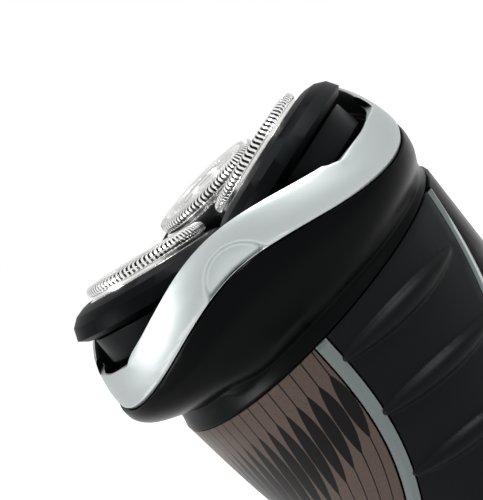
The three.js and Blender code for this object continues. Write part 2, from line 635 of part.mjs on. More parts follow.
function guard() {
  return turned([[0, 1.5], [6, 1.7], [11, 2.1], [11.1, -0.35], [FLANGE_R, -0.35], [FLANGE_R, 0.3],
    [11.9, 0.6], [11.8, 1.5], [12.2, 2.2], [12, 2.9], [11.4, 3.2], [9.1, 3.2], [8.9, 2.7], [8.3, 2.7],
    [8.1, 3], [5.4, 2.9], [5.2, 2.5], [0, 2.5]], 20);
}

function cutter() {
  const blank = turned([[0, -2.8], [2.4, -2.8], [2.4, -8.3], [3.2, -8.3], [3.2, -0.6], [10.2, -0.6],
    [10.2, 0.2], [2.8, 0.2], [2.6, 1.2], [0, 1.2]], 16);
  let whole = blank;
  for (let i = 0; i < CUTTER_BLADES; i++) {
    const fin = new THREE.BoxGeometry(2.3, 0.7, 1.6).rotateX(rad(20)).translate(8.9, 0, 0.7);
    whole = whole.add(solid(fin.rotateZ(2 * Math.PI * i / CUTTER_BLADES)));
  }
  return whole;
}

function addLobe(head, { name, turn, tilt }) {
  const sector = new THREE.Group();
  sector.rotation.z = rad(turn);
  head.add(sector);

  const face = new THREE.Group();
  faceMatrix(tilt).decompose(face.position, face.quaternion, face.scale);
  sector.add(face);
  addMesh(face, `lobe_cover_${name}`, lobeCover(), LOOK.charcoal);
  addMesh(face, `hair_chamber_${name}`, hairChamber(), LOOK.satinBlack);
  addMesh(face, `guard_${name}`, guard(), LOOK.steel);
  addMesh(face, `cutter_${name}`, cutter(), LOOK.steel);

  const { radius, z } = BALL;
  const spindle = turned([[0, BASE.top + GAP], [SPINDLE_R, BASE.top + GAP], [SPINDLE_R, z - 4], [1, z - 3.4],
    [1, z - 1.4], [radius * 0.8, z - 0.9], [radius, z], [radius * 0.7, z + 1.2], [0, z + radius]], 12);
  const drive = new THREE.Group();
  drive.position.set(DRIVE_RADIUS, 0, 0);
  sector.add(drive);
  addMesh(drive, `drive_spindle_${name}`, spindle, LOOK.steel);
  addMesh(drive, `planet_gear_${name}`, gear(PLANET_TEETH, SPINDLE_R + RUN), LOOK.nylon);

  const pinLong = POST.inner + POST.thick - PIN.inner;
  for (const side of [-1, 1]) {
    const y = side * (PIN.inner + pinLong / 2);
    const pin = bar("y", PIN.radius, pinLong, TILT_AXIS.radius, y, TILT_AXIS.z, 10);
    addMesh(sector, `tilt_pin_${name}_${side < 0 ? "a" : "b"}`, pin, LOOK.steel);
  }
}

function gearDeck() {
  let deck = disc(DECK.radius, DECK.top - DECK.thick, DECK.top, 40);
  for (const { turn } of LOBES) {
    const at = (geometry) => solid(geometry.rotateZ(rad(turn)));
    const high = TILT_AXIS.z + PIN.radius + 2 * RUN;
    const tall = high - DECK.top + 0.4;
    for (const side of [-1, 1]) {
      const y = side * (POST.inner + POST.thick / 2);
      const post = new THREE.BoxGeometry(POST.width, POST.thick, tall);
      deck = deck.add(at(post.translate(TILT_AXIS.radius, y, high - tall / 2)));
      const hole = new THREE.CylinderGeometry(PIN.radius + RUN, PIN.radius + RUN, POST.thick * 3, 10);
      deck = deck.subtract(at(hole.translate(TILT_AXIS.radius, y, TILT_AXIS.z)));
    }
    const spindleHole = new THREE.CylinderGeometry(SPINDLE_R + RUN, SPINDLE_R + RUN, 8, 12);
    deck = deck.subtract(at(spindleHole.rotateX(Math.PI / 2).translate(DRIVE_RADIUS, 0, DECK.top)));
  }
  return deck;
}

const SUN_HUB_R = 3.4;

function headBase() {
  const low = BASE.top - BASE.thick;
  const spigot = tube(COLLAR.inner - 2.4, COLLAR.inner - GAP, low - 4, low + 0.5, 32);
  return tube(SUN_HUB_R + RUN, BASE.radius, low, BASE.top, 36).add(spigot);
}

function sunGear() {
  const socket = disc(SHAFT_R + RUN, -40, SHAFT_TOP + 1, 16);
  const hub = disc(SUN_HUB_R, -25.5, GEAR.low + 0.5, 20);
  const blank = gear(SUN_TEETH, 2).add(disc(2.5, GEAR.low, GEAR.high, 16)).add(hub);
  return blank.subtract(socket);
}

function addHead(shaver) {
  const head = new THREE.Group();
  head.position.z = HEAD_Z;
  shaver.add(head);
  addMesh(head, "trim_ring", trimRing(), LOOK.silver);
  addMesh(head, "head_skirt", skirt(), LOOK.glossBlack);
  addMesh(head, "gear_deck", gearDeck(), LOOK.satinBlack);
  addMesh(head, "head_base", headBase(), LOOK.satinBlack);
  addMesh(head, "sun_gear", sunGear(), LOOK.nylon).rotation.z = rad(180 / SUN_TEETH);
  for (const lobe of LOBES) addLobe(head, lobe);
}

// ---------------------------------------------------------------- whole shaver
const shaver = new THREE.Group();
addSkins(shaver);
addControls(shaver);
addElectrics(shaver);
addTop(shaver);
addBottom(shaver);
addTrimmer(shaver);
addHead(shaver);

export default shaver;
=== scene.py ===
# %% [markdown]
# # A rotary electric shaver
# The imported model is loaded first. It is the fixed frame: every size and place below is read from it.
# Nothing in it is moved. A piece whose surface must be finer is copied, refined and shown in its stead,
# and a piece that needs real detail, such as a slotted guard, is modelled anew where the frame says.

# %% Load the frame
import json
import math
import bpy
from mathutils import Matrix, Vector


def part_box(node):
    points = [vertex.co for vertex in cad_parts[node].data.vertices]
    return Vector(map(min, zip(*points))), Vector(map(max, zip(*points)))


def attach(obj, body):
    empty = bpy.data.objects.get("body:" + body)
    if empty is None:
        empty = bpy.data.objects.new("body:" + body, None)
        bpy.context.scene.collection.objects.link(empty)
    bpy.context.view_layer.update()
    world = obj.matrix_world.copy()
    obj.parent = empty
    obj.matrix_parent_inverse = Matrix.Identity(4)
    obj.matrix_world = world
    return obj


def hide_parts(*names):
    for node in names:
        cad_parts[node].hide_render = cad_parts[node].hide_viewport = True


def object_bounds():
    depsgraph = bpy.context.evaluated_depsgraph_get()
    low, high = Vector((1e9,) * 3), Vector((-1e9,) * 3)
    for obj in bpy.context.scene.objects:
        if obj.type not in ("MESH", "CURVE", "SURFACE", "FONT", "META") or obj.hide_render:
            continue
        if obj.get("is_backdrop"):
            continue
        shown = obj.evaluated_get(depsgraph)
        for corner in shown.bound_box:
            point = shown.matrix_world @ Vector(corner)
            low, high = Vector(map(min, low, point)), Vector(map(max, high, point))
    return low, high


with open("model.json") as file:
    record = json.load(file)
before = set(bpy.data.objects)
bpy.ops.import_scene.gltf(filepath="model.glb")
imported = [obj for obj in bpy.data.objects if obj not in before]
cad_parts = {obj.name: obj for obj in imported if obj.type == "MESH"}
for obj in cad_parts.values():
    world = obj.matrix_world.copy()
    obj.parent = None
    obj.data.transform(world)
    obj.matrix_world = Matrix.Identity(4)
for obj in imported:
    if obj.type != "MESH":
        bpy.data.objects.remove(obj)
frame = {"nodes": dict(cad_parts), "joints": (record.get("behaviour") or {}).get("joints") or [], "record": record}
CAD_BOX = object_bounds()
NODES = frame["nodes"]
RECORD = frame["record"]
BODY_OF = {node: body for body, nodes in RECORD["behaviour"]["bodies"].items() for node in nodes}
SLOT_OF = {subpart["node"]: subpart["material_slot"] for subpart in RECORD["subparts"]}
scene = bpy.context.scene
MM = 0.001

# %% [markdown]
# The joints tell where the three shaving heads are. A cutter turns on its head's own axis, so that
# joint's line is the head's axis, and the bright flange round the guard lies a set distance up it.
# A pose matrix made from that point and axis lets each head be modelled once, upright at the origin.

# %% Where the shaving heads are
LOBES = ("front", "right", "left")
JOINTS = {joint["name"]: joint for joint in frame["joints"]}
FLANGE_ABOVE = 7.28 * MM


def head_pose(lobe):
    """The place of a head's flange, with Z along the head's axis and X leaning outward."""
    joint = JOINTS[f"cutter_spin_{lobe}"]
    up = Vector(joint["axis"]).normalized()
    across = Vector(JOINTS[f"lobe_tilt_{lobe}"]["axis"]).normalized()
    out = across.cross(up)
    spot = Vector(joint["pos_m"]) + FLANGE_ABOVE * up
    return Matrix.Translation(spot) @ Matrix((out, across, up)).transposed().to_4x4()


POSES = {lobe: head_pose(lobe) for lobe in LOBES}
HEAD_Z = POSES["front"].translation.z
for lobe in LOBES:
    print(lobe, [round(v * 1000, 1) for v in POSES[lobe].translation])

# %% [markdown]
# ## Camera
# The shaver leans across the picture, seen from its right side and a little above, from close by.
# The camera's three axes are worked out from its viewing direction and its roll.

# %% Camera
CAMERA_AT = Vector((276.383, -110.813, 37.851)) * MM
CAMERA_BACK = Vector((0.91820, -0.36293, 0.15873)).normalized()
ROLL = math.radians(-45.522)
level_right = Vector((0, 0, 1)).cross(CAMERA_BACK).normalized()
level_up = CAMERA_BACK.cross(level_right)
camera_right = math.cos(ROLL) * level_right + math.sin(ROLL) * level_up
camera_up = CAMERA_BACK.cross(camera_right)

camera = bpy.data.objects.new("camera", bpy.data.cameras.new("camera"))
scene.collection.objects.link(camera)
turn = Matrix((camera_right, camera_up, CAMERA_BACK)).transposed().to_4x4()
camera.matrix_world = Matrix.Translation(CAMERA_AT + Vector((0, 0, HEAD_Z))) @ turn
camera.data.lens = 119.407
camera.data.sensor_width = 36
camera.data.clip_start = 0.01
scene.camera = camera
print("camera", round((camera.matrix_world.translation).length, 3), "m from the origin")

# %% [markdown]
# ## Small tools for modelling
# Every operator works on what is selected, so each step begins with one piece picked and nothing else.
# A modifier is applied at once, so that the finished mesh is what the next step sees.

# %% Picking, shaping and finishing
def pick(piece):
    """Makes a piece the only selected one."""
    if bpy.context.mode != "OBJECT":
        bpy.ops.object.mode_set(mode="OBJECT")
    bpy.ops.object.select_all(action="DESELECT")
    piece.select_set(True)
    bpy.context.view_layer.objects.active = piece


def edit_all(piece):
    """Opens a piece in edit mode with all of it selected."""
    pick(piece)
    bpy.ops.object.mode_set(mode="EDIT")
    bpy.ops.mesh.select_all(action="SELECT")


def shaped_by(piece, kind, **settings):
    """Puts a modifier on a piece and applies it."""
    pick(piece)
    modifier = piece.modifiers.new(kind.lower(), kind)
    for key, value in settings.items():
        setattr(modifier, key, value)
    bpy.ops.object.modifier_apply(modifier=modifier.name)


def radial(vector):
    """The level part of a vector: from the shaver's axis outward."""
    return Vector((vector.x, vector.y, 0))


def divided(piece, wanted):
    """Divides the faces that pass a test in four, and does so twice."""
    for _ in range(2):
        edit_all(piece)
        bpy.ops.mesh.select_all(action="DESELECT")
        bpy.ops.object.mode_set(mode="OBJECT")
        for face in piece.data.polygons:
            face.select = wanted(face)
        bpy.ops.object.mode_set(mode="EDIT")
        bpy.ops.mesh.subdivide(number_cuts=1, quadcorner="INNERVERT")
        bpy.ops.object.mode_set(mode="OBJECT")


def rounded(piece, width, angle=30, steps=2):
    """Rounds every edge sharper than an angle, then shades the piece smooth."""
    shaped_by(piece, "BEVEL", width=width * MM, segments=steps, limit_method="ANGLE",
              angle_limit=math.radians(angle), use_clamp_overlap=True)
    pick(piece)
    bpy.ops.object.shade_smooth_by_angle(angle=math.radians(angle))


def placed(piece, pose):
    """Writes a pose into the piece's mesh, so that the object itself stays at the origin."""
    piece.matrix_world = pose
    pick(piece)
    bpy.ops.object.transform_apply(location=True, rotation=True, scale=True)


# %% [markdown]
# Turned pieces are made as on a lathe. A circle is extruded and scaled from one point of the outline to
# the next, which leaves clean rows of faces that can be deleted, cut or bevelled afterwards. The outline
# is a list of radius and height in millimetres. It may close on itself or run to the axis, where its
# radius is too small to see, so that the last points merge into one.

# %% Turned pieces
AXIS = 0.0001


def turned(name, outline, sides):
    """A surface turned about Z from an outline, with its doubles merged and its faces outward."""
    if bpy.context.mode != "OBJECT":
        bpy.ops.object.mode_set(mode="OBJECT")
    bpy.ops.object.select_all(action="DESELECT")
    radius, height = outline[0]
    bpy.ops.mesh.primitive_circle_add(vertices=sides, radius=radius * MM, location=(0, 0, height * MM))
    piece = bpy.context.object
    piece.name = name
    bpy.ops.object.transform_apply(location=True)
    edit_all(piece)
    bpy.ops.mesh.select_mode(type="VERT")   # a circle has no face, so face mode would select nothing
    bpy.ops.mesh.select_all(action="SELECT")
    for (r0, h0), (r1, h1) in zip(outline, outline[1:]):
        bpy.ops.mesh.extrude_region_move(TRANSFORM_OT_translate={"value": (0, 0, (h1 - h0) * MM)})
        bpy.ops.transform.resize(value=(r1 / r0, r1 / r0, 1), center_override=(0, 0, h1 * MM))
    bpy.ops.mesh.select_all(action="SELECT")
    bpy.ops.mesh.remove_doubles(threshold=1e-6)
    bpy.ops.mesh.normals_make_consistent(inside=False)
    bpy.ops.object.mode_set(mode="OBJECT")
    return piece


# %% [markdown]
# The frame's covers are faceted, which is enough for its joints but not for a close look. A copy is
# merged, its triangles are joined to quads, its true edges are creased, and a subdivision surface
# rounds the rest. The copy keeps the frame's size, because the creased edges stay where they are.

# %% Refined copies of frame pieces
def refined(node, levels, crease_over=38, edge=0.15):
    """A finer copy of a node, shown in its stead on the same body."""
    piece = bpy.data.objects.new(node + "_fine", NODES[node].data.copy())
    scene.collection.objects.link(piece)
    edit_all(piece)
    bpy.ops.mesh.remove_doubles(threshold=2e-6)
    bpy.ops.mesh.tris_convert_to_quads(face_threshold=math.radians(25), shape_threshold=math.radians(40))
    if levels:
        bpy.ops.mesh.select_all(action="DESELECT")
        bpy.ops.mesh.select_mode(type="EDGE")
        bpy.ops.mesh.edges_select_sharp(sharpness=math.radians(crease_over))
        bpy.ops.transform.edge_crease(value=1)
    bpy.ops.object.mode_set(mode="OBJECT")
    if levels:
        shaped_by(piece, "SUBSURF", levels=levels, render_levels=levels)
    rounded(piece, edge)
    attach(piece, BODY_OF[node])
    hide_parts(node)
    return piece


COVERS = {"trim_ring": (2, 38), "head_skirt": (2, 38), "inner_trim": (2, 24), "outer_trim": (2, 24),
          "front_panel": (2, 38), "grip": (2, 38), "back_cover": (0, 38), "bottom_cap": (0, 38),
          "trimmer_arm": (0, 38), "trimmer_release": (0, 38), "display_window": (1, 38)}
fine = {node: refined(node, levels, crease_over) for node, (levels, crease_over) in COVERS.items()}
for node, piece in fine.items():
    print(node, len(piece.data.polygons), "faces")

# %% [markdown]
# ## Grip ribs
# The soft sides carry raised ribs shaped like long leaves, one below the other, that the fingers hold
# on to. On the real shaver they are part of the same moulding, so the grip's own skin is pushed out
# here. Faces near a rib are divided first, so that each rib has enough of them to keep its outline.

# %% Ribs on the grip
# Each rib: turns from the front where it starts and ends, its heights there, its width and rise in mm.
RIBS = [
    (62, 118, 0.1243, 0.1218, 4.4, 1.5),
    (58, 114, 0.1130, 0.1086, 4.2, 1.5),
    (52, 102, 0.1012, 0.0966, 4.0, 1.4),
    (46, 88, 0.0890, 0.0854, 2.9, 0.8),
    (40, 74, 0.0776, 0.0746, 2.6, 0.7),
]

RIB_MARGIN = 2.8   # mm from a rib's middle line, within which faces are divided
FAR_AWAY = 9.0     # mm, stands for a place beside no rib


def rib_rise(spot):
    """How far a rib pushes the skin out at a place, and how near the place is to a rib, in mm."""
    turn_here = abs(math.degrees(math.atan2(spot.x, -spot.y)))
    best, near = 0.0, FAR_AWAY
    for start, end, high, low, width, rise in RIBS:
        along = (turn_here - start) / (end - start)
        across = (spot.z - (high + (low - high) * along)) / MM
        if -0.05 < along < 1.05:
            near = min(near, abs(across))
        if 0 < along < 1:
            half = width / 2 * (4 * along * (1 - along)) ** 0.7
            inside = 1 - (across / half) ** 2 if half > 0.01 else 0
            if inside > 0:
                best = max(best, rise * inside ** 0.8 * (4 * along * (1 - along)) ** 0.5)
    return best, near


def near_rib(face):
    """Whether an outward face lies by a rib."""
    return face.normal.dot(radial(face.center)) > 0 and rib_rise(face.center)[1] < RIB_MARGIN


grip = fine["grip"]
divided(grip, near_rib)
for vertex, normal in [(v, v.normal.copy()) for v in grip.data.vertices]:
    if normal.dot(radial(vertex.co)) > 0:
        vertex.co += normal * rib_rise(vertex.co)[0] * MM
print("grip", len(grip.data.polygons), "faces with", 2 * len(RIBS), "ribs")

# %% [markdown]
# ## Thumb notches in the ring
# Halfway between two shaving heads the silver ring rises to a crest, and its outer face has a shallow
# scoop there, open at the bottom. Its edge is crisp, so the faces near each crest are divided before
# the scoop is pressed in. The ring is a trim over black plastic: its inner face is given that finish.

# %% Scoops pressed into the ring
ring = fine["trim_ring"]
CRESTS = (60, 180, 300)
# Half its width in degrees, its height in the head and its depth in mm, and how soft its edge is.
SCOOP = {"turn": 12.5, "low": -9.5, "high": -1.9, "deep": 0.95, "edge": 0.28}
FACES_OUT = 0.35   # cosines between a face and the outward direction
FACES_IN = -0.25


def crest_offset(spot):
    """Degrees round the ring from the nearest crest, and the height in the head, in mm."""
    turn_here = math.degrees(math.atan2(spot.x, -spot.y)) % 360
    off = min(((turn_here - crest + 180) % 360 - 180 for crest in CRESTS), key=abs)
    return off, (spot.z - HEAD_Z) / MM


def scoop_depth(spot):
    """How far the scoop presses a point of the outer face inward, in mm."""
    off, height = crest_offset(spot)
    across = off / SCOOP["turn"]
    up = (height - SCOOP["low"]) / (SCOOP["high"] - SCOOP["low"])
    inside = 1 - across ** 2 - max(up, 0) ** 2.2
    edge = min(max(inside / SCOOP["edge"], 0), 1)
    return SCOOP["deep"] * edge * edge * (3 - 2 * edge) * (1.15 - 0.5 * max(up, 0))


def near_crest(face):
    """Whether an outward face lies by a crest."""
    off = crest_offset(face.center)[0]
    return abs(off) < SCOOP["turn"] * 1.2 and face.normal.dot(radial(face.center)) > 0


divided(ring, near_crest)
for vertex, normal in [(v, v.normal.copy()) for v in ring.data.vertices]:
    outward = radial(vertex.co).normalized()
    if normal.dot(outward) > FACES_OUT:
        vertex.co -= outward * scoop_depth(vertex.co) * MM
INNER_FACES = [face.index for face in ring.data.polygons
               if face.normal.dot(radial(face.center).normalized()) < FACES_IN]
print("ring", len(ring.data.polygons), "faces,", len(INNER_FACES), "of them inside")

# %% [markdown]
# ## Lobe covers
# Each shaving head sits in a charcoal cover: a turned band with two bevels whose sides are sliced off
# where it meets its two neighbours. It is turned as a full ring. Then it is cut by the planes between
# the heads, once for each of three leans, because the cover must clear those planes wherever it tilts.

# %% Turned lobe cover, sliced on its two sides
COVER_OUTLINE = [(12.8, 0.3), (13.1, 0.55), (14.05, 0.3), (15.75, -0.45), (17.2, -1.9), (17.75, -4.2),
                 (16.2, -5.1), (13.3, -5.3), (13.3, -1.9), (12.8, -1.9), (12.8, 0.3)]
CHAMBER_OUTLINE = [(4.2, -11), (13.7, -11), (14.2, -10.6), (14.9, -5.6), (13.4, -5.6), (12.7, -9.8),
                   (4.2, -9.8), (4.2, -11)]
SIDE_GAP = 0.45


def sliced(piece, lobe):
    """Cuts a placed piece by the planes between its head and the next, for each lean of its tilt."""
    joint = JOINTS[f"lobe_tilt_{lobe}"]
    hinge = Vector(joint["pos_m"])
    low, high = (math.radians(lean) for lean in joint["range_deg"])
    outward = Vector((hinge.x, hinge.y, 0)).normalized()
    for side in (-1, 1):
        normal = Matrix.Rotation(side * math.radians(150), 3, "Z") @ outward
        spot = -normal * SIDE_GAP * MM
        for lean in (low, (low + high) / 2, high):
            back = Matrix.Rotation(-lean, 4, Vector(joint["axis"]))
            edit_all(piece)
            bpy.ops.mesh.bisect(plane_co=hinge + back @ (spot - hinge), plane_no=back.to_3x3() @ normal,
                                use_fill=True, clear_outer=True, threshold=1e-7)
    edit_all(piece)
    bpy.ops.mesh.normals_make_consistent(inside=False)
    bpy.ops.object.mode_set(mode="OBJECT")


def stands_for(piece, node):
    """Shows a new piece instead of a node, on that node's body."""
    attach(piece, BODY_OF[node])
    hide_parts(node)


for lobe in LOBES:
    for part, outline in (("lobe_cover", COVER_OUTLINE), ("hair_chamber", CHAMBER_OUTLINE)):
        piece = turned(f"{part}_{lobe}_fine", outline, 96)
        placed(piece, POSES[lobe])
        sliced(piece, lobe)
        rounded(piece, 0.18, angle=14, steps=3)
        stands_for(piece, f"{part}_{lobe}")
        fine[f"{part}_{lobe}"] = piece
    print(lobe, len(piece.data.polygons), "faces in the hair chamber")

# %% [markdown]
# ## Guards
# A guard is a thin steel cap. Hairs enter it through a rim of fine slots that run from the side over the
# edge, and through a second track of shorter slots further in. It is turned from one outline with twice
# as many steps as slots. Every other face of a slotted row is deleted, the rows are turned a little
# against each other, which slants the slots, and a solidify modifier then gives the sheet its thickness.

# %% Slotted guard
SLOTS = 84
GUARD_OUTLINE = [(12.0, -0.35), (12.45, -0.3), (12.52, 0.0), (12.45, 0.3), (12.2, 0.5), (11.75, 0.6),
                 (11.6, 0.75), (11.6, 1.2), (11.78, 1.32), (12.02, 1.5), (12.1, 2.0), (12.02, 2.45),
                 (11.75, 2.85), (11.3, 3.08), (10.7, 3.15), (9.9, 3.15), (9.35, 3.1), (9.1, 2.95),
                 (8.95, 2.65), (8.35, 2.6), (8.2, 2.85), (7.9, 2.98), (6.9, 3.0), (5.75, 2.95),
                 (5.5, 2.8), (5.4, 2.5), (5.2, 2.42), (3.9, 2.36), (3.75, 2.5), (3.4, 2.55),
                 (2.2, 2.5), (2.05, 2.36), (0.6, 2.34), (AXIS, 2.34)]
OUTER_SLOTS = (10.0, 12.15, 1.35)   # from and to radius, above this height
INNER_SLOTS = (6.1, 7.85, 2.9)
SLANT_RADIUS = 12.1                 # slots lean inside this radius and above this height
SLANT_HEIGHT = 2.0
FLAT_CENTRE = 5.6                   # rows inside this radius are not turned


def slant(radius, height):
    """The turn of a row of points about the axis, so that the slots run askew."""
    inward = math.radians(9) * max(0, SLANT_RADIUS - radius) / 2
    return inward + math.radians(2.2) * min(SLANT_HEIGHT - height, 0)


def cut_slots(piece):
    """Deletes every other face of the slotted rows and slants what is left."""
    step = math.pi / SLOTS
    for vertex in piece.data.vertices:
        radius = math.hypot(vertex.co.x, vertex.co.y) / MM
        if radius > FLAT_CENTRE:
            vertex.co = Matrix.Rotation(slant(radius, vertex.co.z / MM), 3, "Z") @ vertex.co
    pick(piece)
    edit_all(piece)
    bpy.ops.mesh.select_all(action="DESELECT")
    bpy.ops.mesh.select_mode(type="FACE")
    bpy.ops.object.mode_set(mode="OBJECT")
    for face in piece.data.polygons:
        radius = math.hypot(face.center.x, face.center.y) / MM
        height = face.center.z / MM
        angle = math.atan2(face.center.y, face.center.x) - slant(radius, height)
        count = math.floor(angle / step + 1e-3)
        outer = OUTER_SLOTS[0] < radius < OUTER_SLOTS[1] and height > OUTER_SLOTS[2] and count % 2 == 0
        inner = INNER_SLOTS[0] < radius < INNER_SLOTS[1] and height > INNER_SLOTS[2] and count % 3 == 0
        face.select = outer or inner
    bpy.ops.object.mode_set(mode="EDIT")
    bpy.ops.mesh.delete(type="FACE")
    bpy.ops.object.mode_set(mode="OBJECT")


guard = turned("guard_front_fine", GUARD_OUTLINE, 2 * SLOTS)
cut_slots(guard)
# The solidified inner side and the slot walls get the second material: near-black steel, painted shade seen
# through the slots.
shaped_by(guard, "SOLIDIFY", thickness=0.22 * MM, offset=-1, material_offset=1, material_offset_rim=1)
pick(guard)
bpy.ops.object.shade_smooth_by_angle(angle=math.radians(35))
guards = {"front": guard}
for lobe in ("right", "left"):
    pick(guard)
    bpy.ops.object.duplicate()
    guards[lobe] = bpy.context.object
    guards[lobe].name = f"guard_{lobe}_fine"
for lobe, piece in guards.items():
    placed(piece, POSES[lobe])
    stands_for(piece, f"guard_{lobe}")
    fine[f"guard_{lobe}"] = piece
print("guard", len(guard.data.polygons), "faces,", SLOTS, "outer slots")

# %% [markdown]
# ## Power button
# The button is a shallow dish with a raised rim, so a thumb finds its middle. It is turned in place of
# the frame's plain disc, at the same size, and laid down so that its axis runs to the front.

# %% Dished button
low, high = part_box("power_button")
radius = (high.x - low.x) / 2 / MM
depth = (high.y - low.y) / MM
BUTTON_OUTLINE = [(AXIS, 0), (radius, 0), (radius, depth - 0.5), (radius - 0.35, depth - 0.1),
                  (radius - 0.9, depth), (radius - 1.4, depth - 0.25), (radius - 2.6, depth - 0.5),
                  (AXIS, depth - 0.62)]
button = turned("power_button_fine", BUTTON_OUTLINE, 72)
middle = (low + high) / 2
placed(button, Matrix.Translation((middle.x, high.y, middle.z)) @ Matrix.Rotation(math.radians(90), 4, "X"))
rounded(button, 0.12, angle=25)
stands_for(button, "power_button")
fine["power_button"] = button
print("button", round(radius, 2), "mm radius,", len(button.data.polygons), "faces")

# %% [markdown]
# ## Finishes
# Every finish is a Principled shader fed by a few shared node groups. Fine grain gives the height that
# a bump node needs. Uneven tone keeps a colour from being dead flat. Handling adds the faint greasy
# patches that fingers leave. Edge lightening mixes a lighter colour into convex edges: wear on most
# finishes, and on the silver trim a painted highlight along its crest. Each group but that one reads a
# place in metres.

# %% Shared node groups
def new_group(name, inputs, outputs):
    """A shader node group with named float, colour or vector sockets."""
    group = bpy.data.node_groups.new(name, "ShaderNodeTree")
    kinds = {"f": "NodeSocketFloat", "c": "NodeSocketColor", "v": "NodeSocketVector"}
    for socket, kind in inputs:
        group.interface.new_socket(name=socket, in_out="INPUT", socket_type=kinds[kind])
    for socket, kind in outputs:
        group.interface.new_socket(name=socket, in_out="OUTPUT", socket_type=kinds[kind])
    return group, group.nodes.new("NodeGroupInput"), group.nodes.new("NodeGroupOutput")


def add(tree, kind, **settings):
    """A node with its settings."""
    node = tree.nodes.new(kind)
    for key, value in settings.items():
        setattr(node, key, value)
    return node


def sums(tree, operation, first, second=None, third=None):
    """A math node on sockets or numbers."""
    node = add(tree, "ShaderNodeMath", operation=operation)
    for index, value in enumerate((first, second, third)):
        if value is None:
            continue
        if isinstance(value, (int, float)):
            node.inputs[index].default_value = value
        else:
            tree.links.new(value, node.inputs[index])
    return node.outputs[0]


def mixed(tree, share, first, second):
    """A colour mix: share 0 gives the first, 1 the second."""
    node = add(tree, "ShaderNodeMix", data_type="RGBA")
    for socket, value in ((node.inputs[0], share), (node.inputs[6], first), (node.inputs[7], second)):
        if hasattr(value, "is_linked"):
            tree.links.new(value, socket)
        else:
            socket.default_value = value
    return node.outputs[2]


fine_grain, g_in, g_out = new_group(
    "fine grain", [("Place", "v"), ("Grain per metre", "f")], [("Height", "f")])
noise = add(fine_grain, "ShaderNodeTexNoise")
noise.inputs["Detail"].default_value = 3
fine_grain.links.new(g_in.outputs["Place"], noise.inputs["Vector"])
fine_grain.links.new(g_in.outputs["Grain per metre"], noise.inputs["Scale"])
fine_grain.links.new(noise.outputs["Fac"], g_out.inputs["Height"])

uneven_tone, t_in, t_out = new_group(
    "uneven tone", [("Place", "v"), ("Colour", "c"), ("Patches per metre", "f"), ("Amount", "f")],
    [("Colour", "c")])
noise = add(uneven_tone, "ShaderNodeTexNoise")
noise.inputs["Detail"].default_value = 2
uneven_tone.links.new(t_in.outputs["Place"], noise.inputs["Vector"])
uneven_tone.links.new(t_in.outputs["Patches per metre"], noise.inputs["Scale"])
swing = sums(uneven_tone, "SUBTRACT", noise.outputs["Fac"], 0.5)
brightness = sums(uneven_tone, "MULTIPLY_ADD", swing, t_in.outputs["Amount"], 1.0)
scaled = add(uneven_tone, "ShaderNodeVectorMath", operation="SCALE")
uneven_tone.links.new(t_in.outputs["Colour"], scaled.inputs[0])
uneven_tone.links.new(brightness, scaled.inputs["Scale"])
uneven_tone.links.new(scaled.outputs[0], t_out.inputs["Colour"])

handling, h_in, h_out = new_group(
    "handling", [("Place", "v"), ("Roughness", "f"), ("Amount", "f")], [("Roughness", "f")])
smears = add(handling, "ShaderNodeTexNoise")
smears.inputs["Scale"].default_value = 55
smears.inputs["Detail"].default_value = 4
smears.inputs["Distortion"].default_value = 0.6
handling.links.new(h_in.outputs["Place"], smears.inputs["Vector"])
swing = sums(handling, "SUBTRACT", smears.outputs["Fac"], 0.5)
handling.links.new(sums(handling, "MULTIPLY_ADD", swing, h_in.outputs["Amount"], h_in.outputs["Roughness"]),
                   h_out.inputs["Roughness"])

# Mixes a lighter colour into convex edges: wear on most finishes, a painted highlight along the silver trim's
# crest.
edge_wear, w_in, w_out = new_group(
    "edge wear", [("Colour", "c"), ("Worn colour", "c"), ("Amount", "f")], [("Colour", "c")])
shape = add(edge_wear, "ShaderNodeNewGeometry")
convex = add(edge_wear, "ShaderNodeMapRange")
for key, value in (("From Min", 0.53), ("From Max", 0.64)):
    convex.inputs[key].default_value = value
edge_wear.links.new(shape.outputs["Pointiness"], convex.inputs["Value"])
edge_wear.links.new(mixed(edge_wear, sums(edge_wear, "MULTIPLY", convex.outputs[0], w_in.outputs["Amount"]),
                          w_in.outputs["Colour"], w_in.outputs["Worn colour"]), w_out.inputs["Colour"])
print("groups:", [group.name for group in bpy.data.node_groups])

# %% [markdown]
# A finish is then one call. Its colour passes through the tone and edge lightening groups, its
# roughness through handling, and its grain into a bump. Numbers that are the same all over sit on the
# shader itself.

# %% Making a finish
def use(tree, group, **values):
    """Places a group, with numbers, colours or sockets on its inputs."""
    node = add(tree, "ShaderNodeGroup", node_tree=group)
    for name, value in values.items():
        socket = node.inputs[name.replace("_", " ").capitalize()]
        if hasattr(value, "is_linked"):
            tree.links.new(value, socket)
        else:
            socket.default_value = value
    return node.outputs[0]


def start_finish(name):
    """A new material with only its Principled shader, its output and its place in metres."""
    material = bpy.data.materials.new(name)
    material.use_nodes = True
    tree = material.node_tree
    shader = tree.nodes["Principled BSDF"]
    return material, tree, shader, add(tree, "ShaderNodeTexCoord").outputs["Object"]


def surface(tree, shader, place, colour, roughness, grain=2500, bump=0.08, patches=40, tone=0.25,
            smears=0.1, worn=None, wear=0.3, tall=0.00004):
    """Feeds a shader's colour, roughness and normal."""
    toned = use(tree, uneven_tone, place=place, colour=colour, patches_per_metre=patches, amount=tone)
    if worn:
        toned = use(tree, edge_wear, colour=toned, worn_colour=worn, amount=wear)
    tree.links.new(toned, shader.inputs["Base Color"])
    handled = use(tree, handling, place=place, roughness=roughness, amount=smears)
    tree.links.new(handled, shader.inputs["Roughness"])
    relief = add(tree, "ShaderNodeBump")
    relief.inputs["Strength"].default_value = bump
    relief.inputs["Distance"].default_value = tall
    tree.links.new(use(tree, fine_grain, place=place, grain_per_metre=grain), relief.inputs["Height"])
    tree.links.new(relief.outputs[0], shader.inputs["Normal"])


